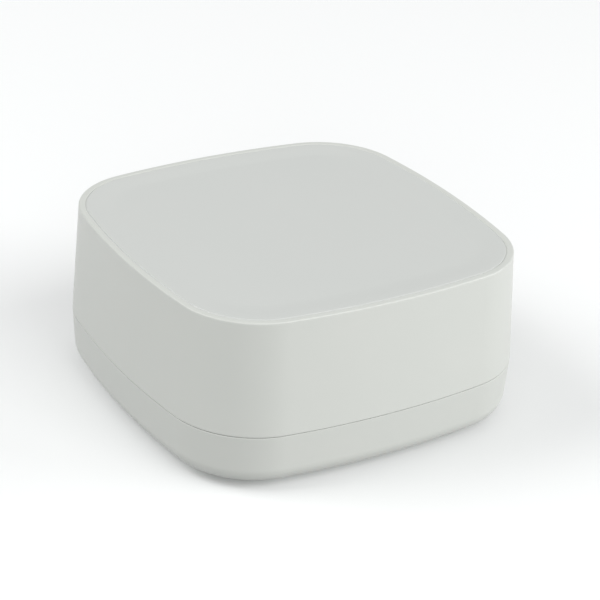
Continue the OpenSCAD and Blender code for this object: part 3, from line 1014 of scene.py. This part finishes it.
@dataclass
class Housing:
    """The upper shell, the cover panel and the base, all with one outline."""

    low: Vector
    high: Vector
    seam: float
    top_lean: float = 1.2 * MM
    lean_angle: float = 3.0
    base_lean: float = 0.4 * MM
    base_round: float = 3.7 * MM
    wall: float = 1.8 * MM
    gap: float = 0.1 * MM
    rim: float = 1.3 * MM
    rim_round: float = 0.25 * MM
    edge_round: float = 0.08 * MM
    # Both sides of the groove inside the rim curve down until they are this steep.
    groove_r: float = 0.34 * MM
    groove_slope: float = 50.0
    panel_gap: float = 0.02 * MM
    panel: float = 1.3 * MM
    panel_rest: float = 0.1 * MM
    dish: float = 0.2 * MM
    dish_border: float = 5.5 * MM
    deck: float = 1.4 * MM
    fillet: float = 0.9 * MM
    tongue_in: float = 0.95 * MM
    tongue: float = 1.5 * MM
    tongue_play: float = 0.1 * MM
    flat_from: float = 9 * MM
    fit: Fittings = Fittings()
    cuts: Openings = Openings()

    def __post_init__(self) -> None:
        """Works out the outline and the shared heights from the frame's box."""
        self.outline = Outline((self.high.x - self.low.x) / 2)
        self.top = self.high.z
        self.seat = self.top - self.panel - self.panel_rest
        self.deck_under = self.seat - self.deck
        self.groove_side = self.groove_r * math.sin(math.radians(self.groove_slope))

    def at_screws(self) -> list[Matrix]:
        """Moves from the middle to the four housing screws."""
        at = self.fit.screw_at
        return [Matrix.Translation((x, y, 0)) for x in (-at, at) for y in (-at, at)]

    def at_studs(self) -> list[Matrix]:
        """Moves from the middle to the four board screws."""
        x_at, y_at = self.fit.stud_x, self.fit.stud_y
        return [Matrix.Translation((x, y, 0)) for x in (-x_at, x_at) for y in (-y_at, y_at)]

    def at_hooks(self) -> list[Matrix]:
        """Works out the moves that take a hook to its places.

        Returns:
            Moves from the middle of the back side to two places on each of the four sides.
        """
        sides = [Matrix.Rotation(quarter * math.pi / 2, 4, "Z") for quarter in range(4)]
        return [side @ Matrix.Translation((x, 0, 0)) for side in sides
                for x in (-self.fit.hook_at, self.fit.hook_at)]

    def upper(self) -> bpy.types.Object:
        """Models the upper shell: skirt, leaning wall, rounded rim, panel recess and deck.

        Returns:
            The shell, with its fittings and openings.
        """
        foot = self.seam + self.gap / 2
        lean, edge, rim, fillet = self.top_lean, self.edge_round, self.rim_round, self.fillet
        rim_in = lean + self.rim
        rebate = self.tongue_in - self.tongue_play
        rebate_top = self.seam + self.tongue + 2 * self.tongue_play
        groove = (rim_in - self.groove_side, self.top - self.groove_r)
        section = [
            (self.flat_from, self.deck_under),
            *arc((lean + self.wall + fillet, self.deck_under - fillet), fillet, 90, 0, 4),
            (self.wall, rebate_top), (rebate, rebate_top), (rebate, foot),
            *arc((edge, foot + edge), edge, -90, 0, 3),
            *arc((lean + rim, self.top - rim), rim, self.lean_angle, 90, 5),
            *arc(groove, self.groove_r, 90, 90 + self.groove_slope, 4),
            (rim_in, self.seat), (self.flat_from, self.seat),
        ]
        shell = self.outline.sweep("upper_shell", section)
        self.add_inside(shell)
        self.cut_walls(shell)
        return shell

    def add_inside(self, shell: bpy.types.Object) -> None:
        """Adds the screw posts, the button's guide and the aerials' ribs, and cuts the hooks' slots.

        Args:
            shell: the swept shell.
        """
        fit = self.fit
        reach = self.deck_under + fit.deck_bite
        post = rod("post", fit.post_r, (0, 0, self.seam), reach - self.seam)
        button = middle("pairing_button")
        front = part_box("pairing_switch")[1].y + fit.guide_from
        guide = rod("guide", fit.guide_r, (button.x, front, button.z), fit.guide_length, Axis.BACK)
        carve(shell, spread(post, self.at_screws()), guide, join=True)
        trim = cube("trim", (-fit.trim_half, fit.trim_from, self.seam - fit.trim_depth),
                    (fit.trim_half, fit.trim_to, self.seam + self.gap / 2))
        bore = rod("bore", fit.pilot_r, (0, 0, self.seam - MM), fit.pilot_length, sides=24)
        carve(shell, trim, spread(bore, self.at_screws()))
        ribs = []
        for name in ("antenna_left", "antenna_right"):
            low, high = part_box(name)
            ribs += [self.rib(low, high, end, reach) for end in (low.y, high.y)]
        carve(shell, *ribs, join=True)
        half, under = fit.hook_half + fit.hook_side_room, self.deck_under - MM
        slot = cube("slot", (-half, fit.hook_from - fit.hook_bend_room, under),
                    (half, fit.hook_from + fit.hook_leg + fit.hook_back_room, self.seat + MM))
        carve(shell, spread(slot, self.at_hooks()))

    def rib(self, low: Vector, high: Vector, end: float, reach: float) -> bpy.types.Object:
        """Models one rib with the slot that takes an end of an aerial board.

        Args:
            low: the board's lowest corner.
            high: the board's highest corner.
            end: the place of the board's end along Y.
            reach: the height that the rib runs up to.

        Returns:
            The slotted rib.
        """
        fit = self.fit
        past = math.copysign(fit.rib_past, end)
        near, far = sorted(math.copysign(x, low.x) for x in (fit.rib_in, fit.rib_out))
        rib = cube("rib", (near, end + past - fit.rib_half, low.z - MM),
                   (far, end + past + fit.rib_half, reach))
        play = fit.slot_play
        slot = cube("slot", (low.x - play, end - past - fit.slot_front, low.z - play),
                    (high.x + play, end - past / 1.5 + fit.slot_back, high.z + play))
        carve(rib, slot)
        return rib

    def cut_walls(self, shell: bpy.types.Object) -> None:
        """Cuts the sockets' and buttons' openings in the back wall, and the light's pocket.

        Args:
            shell: the shell with its fittings.
        """
        cuts = self.cuts
        net_low, net_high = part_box("network_socket_shield")
        usb_low, usb_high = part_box("power_socket_shell")
        usb = (usb_low + usb_high) / 2
        button, reset = middle("pairing_button"), middle("reset_plunger")
        back, under, play = cuts.start + cuts.length, self.seam - MM, cuts.network_play
        wide, tall = (usb_high[i] - usb_low[i] + 2 * cuts.power_play for i in (0, 2))
        foot, front = self.seam + cuts.pocket_foot, cuts.pocket_front
        carve(
            shell,
            cube("cut", (net_low.x - play, cuts.network_start, under),
                 (net_high.x + play, back, net_high.z + play)),
            tube("cut", (usb.x, cuts.start, usb.z), wide, tall, cuts.length),
            rod("cut", cuts.reset_r, (reset.x, cuts.start, reset.z), cuts.length, Axis.BACK, 32),
            rod("cut", cuts.button_r, (button.x, cuts.start, button.z), cuts.length, Axis.BACK, 64),
            cube("cut", (-cuts.pocket_half, front, foot),
                 (cuts.pocket_half, front + cuts.pocket_depth, foot + cuts.pocket_height)),
        )
        carve(shell, cube("cut", (usb.x - wide / 2, cuts.start, under), (usb.x + wide / 2, back, usb.z)))
        lowest = self.seam + 2 * cuts.edge_round

        def on_opening(edge: bmesh.types.BMEdge) -> bool:
            """Finds the outer edges of the openings, above the joint.

            Args:
                edge: an edge of the shell.

            Returns:
                True where the wall's face meets an opening's side.
            """
            at = (edge.verts[0].co + edge.verts[1].co) / 2
            if len(edge.link_faces) != 2 or at.z < lowest or at.y < self.outline.wall(at.x, MM):
                return False
            across, along = sorted(abs(face.normal.y) for face in edge.link_faces)
            return abs(at.x) < cuts.reach and across < 0.25 and along > 0.97

        round_edges(shell, on_opening, cuts.edge_round, 2)

    def cover(self) -> bpy.types.Object:
        """Models the cover panel: a soft edge, a very shallow dish and eight hooks under it.

        Returns:
            The panel.
        """
        inset = self.top_lean + self.rim + self.panel_gap
        under = self.seat + self.panel_rest
        edge, chamfer = self.groove_side, self.panel_rest
        slope = [
            (inset + edge + (self.dish_border - edge) * t, self.top - self.dish * t * t * (3 - 2 * t))
            for t in (0.15, 0.3, 0.45, 0.6, 0.75, 0.9, 1)
        ]
        start = 90 - self.groove_slope
        section = [
            (self.flat_from, under), (inset + chamfer, under), (inset, under + chamfer),
            *arc((inset + edge, self.top - self.groove_r), self.groove_r, start, 90, 4), *slope,
        ]
        panel = self.outline.sweep("cover_panel", section)
        carve(panel, spread(self.hook(under), self.at_hooks()), join=True)
        return panel

    def hook(self, under: float) -> bpy.types.Object:
        """Models a snap hook: a leg with a lip that catches under the deck.

        Args:
            under: the height of the panel's underside.

        Returns:
            The hook, in the middle of the back side.
        """
        fit = self.fit
        half, back, low = fit.hook_half, fit.hook_from + fit.hook_leg, under - self.deck - fit.hook_tip
        catch = under - self.deck - fit.hook_catch
        hook = cube("hook", (-half, fit.hook_from, low), (half, back, under + fit.hook_root))
        barb = cube("barb", (-half, back - fit.hook_leg / 2, low), (half, back + fit.hook_lip, catch))
        with EditMode(barb) as edit:
            edit.edges(lambda e: all(v.co.y > back and v.co.z < low + 0.1 * MM for v in e.verts))
            bpy.ops.mesh.bevel(offset=fit.hook_ramp, segments=1, affect="EDGES")
        carve(hook, barb, join=True)
        return hook

    def base(self) -> bpy.types.Object:
        """Models the base: tongue, leaning wall, rounded lower edge, floor, vents and posts.

        Returns:
            The base.
        """
        fit = self.fit
        head = self.seam - self.gap / 2
        floor = self.low.z + self.wall
        centre = (self.base_lean + self.base_round, self.low.z + self.base_round)
        inner = self.base_round - self.wall
        tongue_top = self.seam + self.tongue
        edge = self.edge_round
        section = [
            (self.flat_from, floor), *arc(centre, inner, -90, 0, 6),
            (self.wall, head), (self.wall, tongue_top),
            (self.tongue_in, tongue_top), (self.tongue_in, head),
            *arc((edge, head - edge), edge, 90, 0, 3), *arc(centre, self.base_round, 0, -90, 16),
            (self.flat_from, self.low.z),
        ]
        tray = self.outline.sweep("base_tray", section)
        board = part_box("main_board")[0].z
        sunk = self.low.z + fit.floor_bite
        boss = rod("boss", fit.boss_r, (0, 0, sunk), fit.boss_height)
        carve(tray, spread(boss, self.at_screws()), join=True)
        post = rod("post", fit.post_r, (0, 0, sunk), self.seam - sunk)
        stud = rod("stud", fit.stud_r, (0, 0, sunk), board - sunk)
        carve(tray, spread(post, self.at_screws()), spread(stud, self.at_studs()), join=True)
        sink = rod("sink", fit.head_r, (0, 0, 0), self.low.z + fit.head_seat)
        deep = fit.stud_depth
        hole = rod("hole", fit.stud_bore, (0, 0, board - deep), deep + fit.stud_past, sides=24)
        cuts = self.cuts
        stop = cube("stop", (cuts.stop_left, cuts.stop_from, head),
                    (cuts.stop_right, cuts.start + cuts.length, head + cuts.stop_height))
        carve(
            tray, self.label_recess(), self.vents(),
            spread(sink, self.at_screws()), spread(hole, self.at_studs()), stop,
        )
        bore = rod("bore", fit.free_r, (0, 0, 0), self.seam + MM, sides=24)
        carve(tray, spread(bore, self.at_screws()))
        return tray

    def label_recess(self) -> bpy.types.Object:
        """Models the block that sinks the label's place into the underside.

        Returns:
            The block.
        """
        play, under = self.fit.label_play, self.low.z
        low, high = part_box("rating_label")
        recess = cube("recess", (low.x - play, low.y - play, under - MM),
                      (high.x + play, high.y + play, under + self.fit.label_recess))
        round_edges(recess, upright, self.fit.label_corner, 6)
        return recess

    def vents(self) -> bpy.types.Object:
        """Models the bars that cut the cooling slots through the floor, in two rows.

        Returns:
            The bars as one object.
        """
        fit = self.fit
        bar = tube("vent", (0, -MM, 0), fit.vent_length, fit.vent_width, self.wall + 2.2 * MM)
        for axis in "XZ":
            bar.data.transform(Matrix.Rotation(math.pi / 2, 4, axis))
        first = -fit.vent_pitch * (fit.vents - 1) / 2
        return spread(bar, [
            Matrix.Translation((first + fit.vent_pitch * step, y, self.low.z))
            for y in (-fit.vent_row, fit.vent_row) for step in range(fit.vents)
        ])


@dataclass
class Foot:
    """A curved rubber pad with round ends, moulded with a shallow pocket in its face."""

    node: str
    quarter: int
    outline: Outline
    width: float = 5 * MM
    inset: float = 4.5 * MM
    angle: float = 34.0
    bevel: float = 0.3 * MM
    border: float = 0.8 * MM
    pocket: float = 0.12 * MM
    pocket_round: float = 0.05 * MM

    def build(self) -> bpy.types.Object:
        """Models the pad in the rear right corner and turns it to its own.

        Returns:
            The pad.
        """
        centre = (self.outline.corner, self.outline.corner)
        reach = self.outline.corner_r - self.inset - self.width / 2
        half = self.width / 2
        start, end = 45 - self.angle / 2, 45 + self.angle / 2
        near, far = (curve(centre, reach, turn, turn, 1)[0] for turn in (start, end))
        points = [
            *curve(centre, reach + half, start, end, 12)[:-1],
            *curve(far, half, end, end + 180, 12)[:-1],
            *curve(centre, reach - half, end, start, 12)[:-1],
            *curve(near, half, start + 180, start + 360, 12)[:-1],
        ]
        obj = slab(self.node + "_pad", points, 0.0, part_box(self.node)[1].z)
        round_edges(obj, lambda e: all(v.co.z < 1e-7 for v in e.verts), self.bevel)
        with EditMode(obj) as edit:
            edit.faces(lambda f: f.normal.z < -0.99)
            bpy.ops.mesh.inset(thickness=self.border, depth=-self.pocket)
            bpy.ops.mesh.bevel(offset=self.pocket_round, segments=2, affect="EDGES")
        obj.data.transform(Matrix.Rotation(self.quarter * math.pi / 2, 4, "Z"))
        return obj


@dataclass
class Label:
    """The blank rating label: a thin film with rounded corners."""

    node: str = "rating_label"
    corner: float = 1.3 * MM
    edge: float = 0.04 * MM

    def build(self) -> bpy.types.Object:
        """Models a sheet with its corners rounded and its rim eased.

        Returns:
            The label.
        """
        low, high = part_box(self.node)
        obj = cube("label_film", tuple(low), tuple(high))
        round_edges(obj, upright, self.corner, 8)
        return soften(obj, self.edge)


@dataclass
class PowerSocket:
    """The power socket: a drawn steel sleeve and a black tongue that carries the contacts."""

    wall: float = 0.3 * MM
    mouth_round: float = 0.08 * MM
    tongue_width: float = 6.7 * MM
    tongue_height: float = 0.7 * MM
    tongue_back: float = 0.8 * MM
    tip_round: float = 0.22 * MM
    edge_round: float = 0.05 * MM
    floor: float = 1.9 * MM
    play: float = 0.04 * MM

    def __post_init__(self) -> None:
        """Reads the sleeve's box."""
        self.low, self.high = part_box("power_socket_shell")
        self.size = self.high - self.low
        self.axis = (self.low + self.high) / 2

    def sleeve(self) -> bpy.types.Object:
        """Models the sleeve: open in front, closed behind, its mouth rolled smooth.

        Returns:
            The sleeve.
        """
        x, z, back, depth = self.axis.x, self.axis.z, self.low.y, self.size.y
        wide, tall, walls = self.size.x, self.size.z, 2 * self.wall
        shell = tube("power_sleeve", (x, back, z), wide, tall, depth)
        hollow = tube("hollow", (x, back + self.wall, z), wide - walls, tall - walls, depth)
        carve(shell, hollow)
        return soften(shell, self.mouth_round, 3)

    def tongue(self) -> bpy.types.Object:
        """Models the tongue on its block, its tip rounded.

        Returns:
            The tongue and its block as one piece.
        """
        x, z = self.axis.x, self.axis.z
        back = self.low.y + self.wall + self.play / 2
        take = 2 * self.wall + 2 * self.play
        block = tube("power_tongue", (x, back, z), self.size.x - take, self.size.z - take, self.floor)
        half, thick = self.tongue_width / 2, self.tongue_height / 2
        tip = self.high.y - self.tongue_back
        blade = cube("blade", (x - half, back + MM, z - thick), (x + half, tip, z + thick))
        round_edges(blade, lambda e: all(v.co.y > tip - 1e-7 for v in e.verts), self.tip_round)
        carve(block, blade, join=True)
        return soften(block, self.edge_round)


@dataclass
class PairingButton:
    """The pairing button: a faintly hollow cap, the flange that keeps it in, and a stem."""

    cap: float = 2.6 * MM
    flange: float = 3.6 * MM
    flange_from: float = 2 * MM
    flange_height: float = 0.8 * MM
    stem: float = 1.3 * MM
    edge: float = 0.3 * MM
    ease: float = 0.15 * MM
    hollow: float = 0.1 * MM
    hollow_part: float = 0.8

    def build(self) -> bpy.types.Object:
        """Spins the button's profile about its axis.

        Returns:
            The button.
        """
        low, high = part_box("pairing_button")
        axis = middle("pairing_button")
        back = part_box("pairing_switch")[1].y + self.flange_from - low.y
        front, face, ease = back + self.flange_height, high.y - low.y, self.ease
        dish = [
            (self.cap * part, face - self.hollow * (1 - (part / self.hollow_part) ** 2))
            for part in (self.hollow_part, 0.6, 0.4, 0.2, 0)
        ]
        profile = [
            (0, 0), (self.stem - ease, 0), (self.stem, ease), (self.stem, back),
            (self.flange - ease, back), (self.flange, back + ease), (self.flange, front - ease),
            (self.flange - ease, front), (self.cap, front),
            *curve((self.cap - self.edge, face - self.edge), self.edge, 0, 90, 6), *dish,
        ]
        return turned("pairing_cap", profile, (axis.x, low.y, axis.z), Axis.BACK, 64)


@dataclass(frozen=True)
class Eased:
    """A piece whose form the frame already has: a merged copy of its node with eased edges."""

    node: str
    width: float
    body: Body = Body.HOUSING

    def build(self) -> bpy.types.Object:
        """Merges the node's loose triangles into flat faces and rounds the edges between them.

        Returns:
            The eased copy.
        """
        obj = bpy.data.objects.new(self.node + "_eased", frame["nodes"][self.node].data.copy())
        bpy.context.scene.collection.objects.link(obj)
        with EditMode(obj) as edit:
            edit.clean(2e-6)
            bpy.ops.mesh.select_all(action="SELECT")
            bpy.ops.mesh.dissolve_limited(angle_limit=math.radians(0.5))
        if self.width:
            soften(obj, self.width * MM)
        return obj


# How far each inner piece's edges are rounded, in millimetres: sheet metal folds and rubber
# more than mouldings, mouldings more than cut boards.
EASED = (
    Eased("housing_screws", 0.08), Eased("board_screws", 0.08), Eased("main_board", 0.1),
    Eased("processor", 0.1), Eased("memory_chip", 0.1), Eased("flash_chip", 0.1),
    Eased("regulator_chip", 0.08), Eased("thermal_pad", 0.25), Eased("processor_shield", 0.22),
    Eased("heat_sink", 0.15), Eased("network_socket_shield", 0.22), Eased("network_socket_body", 0.1),
    Eased("network_socket_contacts", 0.06), Eased("network_socket_lights", 0.2),
    Eased("network_transformer", 0.12), Eased("power_socket_contacts", 0.02),
    Eased("pairing_switch", 0.2), Eased("pairing_plunger", 0.3, Body.PAIRING),
    Eased("reset_switch", 0.2), Eased("reset_plunger", 0.2, Body.RESET), Eased("status_led", 0.15),
    Eased("light_pipe", 0.15), Eased("radio_module_board", 0.06), Eased("radio_module_shield", 0.2),
    Eased("radio_antenna", 0.06), Eased("wifi_shield", 0.2), Eased("antenna_left", 0.06),
    Eased("antenna_right", 0.06), Eased("antenna_lead_left", 0), Eased("antenna_lead_right", 0),
    Eased("antenna_sockets", 0.08), Eased("antenna_plugs", 0.1), Eased("bulk_capacitors", 0.3),
    Eased("power_inductor", 0.2), Eased("crystal", 0.3), Eased("chip_passives", 0.06),
)


@dataclass
class Studio:
    """The floor, the soft lights and the camera."""

    # Where the camera stands: its bearing, its angle above the floor and its tilt, in degrees.
    azimuth: float = -31.624
    elevation: float = 27.031
    roll: float = 2.912
    distance: float = 368.2 * MM
    slide: Point = (2.6 * MM, 13.9 * MM)
    lens: float = 118.4
    sensor: float = 36.0
    near: float = 0.01
    floor_size: float = 6.0
    floor_glow: float = 0.024
    # The lights' distance, the sides of the upright and hanging soft boxes, and the even glow.
    reach: float = 1.5
    box_side: float = 0.9
    top_side: float = 1.2
    glow: float = 0.394

    def camera(self, lift: float) -> None:
        """Makes the camera.

        Args:
            lift: the height of the housing's underside, which the distance is measured from.
        """
        turn, rise, roll = (math.radians(a) for a in (self.azimuth, self.elevation, self.roll))
        back = self.towards(turn, rise)
        level = Vector((math.cos(turn), math.sin(turn), 0))
        above = back.cross(level)
        right = level * math.cos(roll) + above * math.sin(roll)
        up = above * math.cos(roll) - level * math.sin(roll)
        place = back * self.distance + right * self.slide[0] + up * self.slide[1] + Vector((0, 0, lift))
        bpy.ops.object.camera_add()
        camera = bpy.context.active_object
        camera.name = "camera"
        axes = Matrix((right, up, back)).transposed()
        camera.matrix_world = Matrix.Translation(place) @ axes.to_4x4()
        camera.data.lens = self.lens
        camera.data.sensor_width = self.sensor
        camera.data.clip_start = self.near
        bpy.context.scene.camera = camera

    @staticmethod
    def towards(turn: float, rise: float) -> Vector:
        """The direction from the hub at a bearing and a height, both in radians."""
        return Vector((math.sin(turn) * math.cos(rise), -math.cos(turn) * math.cos(rise), math.sin(rise)))

    def floor(self) -> None:
        """Lays a pale, matt floor that gives no bounce light and can be seen through from below."""
        bpy.ops.mesh.primitive_plane_add(size=self.floor_size)
        floor = named("floor")
        floor.visible_diffuse = False
        material = bpy.data.materials.new("pale_floor")
        material.use_nodes = True
        tree = material.node_tree
        shader, output = tree.nodes["Principled BSDF"], tree.nodes["Material Output"]
        shader.inputs["Base Color"].default_value = linear("#F7F8F8")
        shader.inputs["Roughness"].default_value = 0.9
        shader.inputs["Specular IOR Level"].default_value = 0.1
        shader.inputs["Emission Color"].default_value = linear("#FFFFFF")
        shader.inputs["Emission Strength"].default_value = self.floor_glow
        clear = add(tree, "ShaderNodeBsdfTransparent")
        side = add(tree, "ShaderNodeNewGeometry")
        mix = add(tree, "ShaderNodeMixShader", None, {"Fac": side.outputs["Backfacing"]})
        tree.links.new(shader.outputs["BSDF"], mix.inputs[1])
        tree.links.new(clear.outputs["BSDF"], mix.inputs[2])
        tree.links.new(mix.outputs["Shader"], output.inputs["Surface"])
        floor.data.materials.append(material)

    def light(self, name: str, bearing: float, height: float, side: float, power: float) -> None:
        """Hangs a square soft box that faces the hub.

        Args:
            name: its name.
            bearing: how far round it stands from the camera, in degrees anticlockwise.
            height: how high it hangs, as an angle above the floor in degrees.
            side: the length of its side.
            power: its power in watts.
        """
        place = self.reach * self.towards(math.radians(self.azimuth + bearing), math.radians(height))
        bpy.ops.object.light_add(type="AREA", location=place)
        lamp = bpy.context.active_object
        lamp.name = name
        lamp.data.shape = "SQUARE"
        lamp.data.size = side
        lamp.data.energy = power
        lamp.rotation_euler = (-place).to_track_quat("-Z", "Y").to_euler()

    def lights(self) -> None:
        """Hangs soft boxes in front, on both sides and above, and adds an even glow all round."""
        self.light("key_light", 45, 45, self.box_side, 6.0)
        self.light("side_light", 90, 15, self.box_side, 11.9)
        self.light("left_light", -90, 45, self.box_side, 9.8)
        self.light("front_light", 0, 15, self.box_side, 6.1)
        self.light("top_light", 0, 90, self.top_side, 1.4)
        world = bpy.data.worlds.new("studio")
        bpy.context.scene.world = world
        world.use_nodes = True
        sky = world.node_tree.nodes["Background"]
        sky.inputs["Color"].default_value = linear("#FBFCFC")
        sky.inputs["Strength"].default_value = self.glow
        bpy.context.scene.view_settings.view_transform = "Standard"


def main() -> None:
    """Builds the hub's looks in order and reports each piece."""
    logging.basicConfig(level=logging.INFO, format="%(name)s: %(message)s")
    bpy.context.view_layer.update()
    wardrobe = Wardrobe()
    slots = {part["node"]: part["material_slot"] for part in frame["record"]["subparts"]}
    for name, slot in slots.items():
        wardrobe.dress_node(name, slot)
    upper_low, upper_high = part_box("upper_housing")
    base_low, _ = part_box("base_housing")
    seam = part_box("main_board")[1].z
    housing = Housing(Vector((upper_low.x, upper_low.y, base_low.z)), upper_high, seam)
    socket = PowerSocket()
    feet = ("foot_rear_right", "foot_rear_left", "foot_front_left", "foot_front_right")
    made: list[tuple[str, bpy.types.Object, Body]] = [
        ("upper_housing", housing.upper(), Body.HOUSING),
        ("top_panel", housing.cover(), Body.HOUSING),
        ("base_housing", housing.base(), Body.HOUSING),
        ("rating_label", Label().build(), Body.HOUSING),
        ("power_socket_shell", socket.sleeve(), Body.HOUSING),
        ("power_socket_tongue", socket.tongue(), Body.HOUSING),
        ("pairing_button", PairingButton().build(), Body.PAIRING),
        *((node, Foot(node, i, housing.outline).build(), Body.HOUSING) for i, node in enumerate(feet)),
        *((eased.node, eased.build(), eased.body) for eased in EASED),
    ]
    for node, obj, body in made:
        Piece(obj, slots[node], (node,), body).place(wardrobe)
    studio = Studio()
    studio.floor()
    studio.lights()
    studio.camera(base_low.z)


if __name__ == "__main__":
    main()
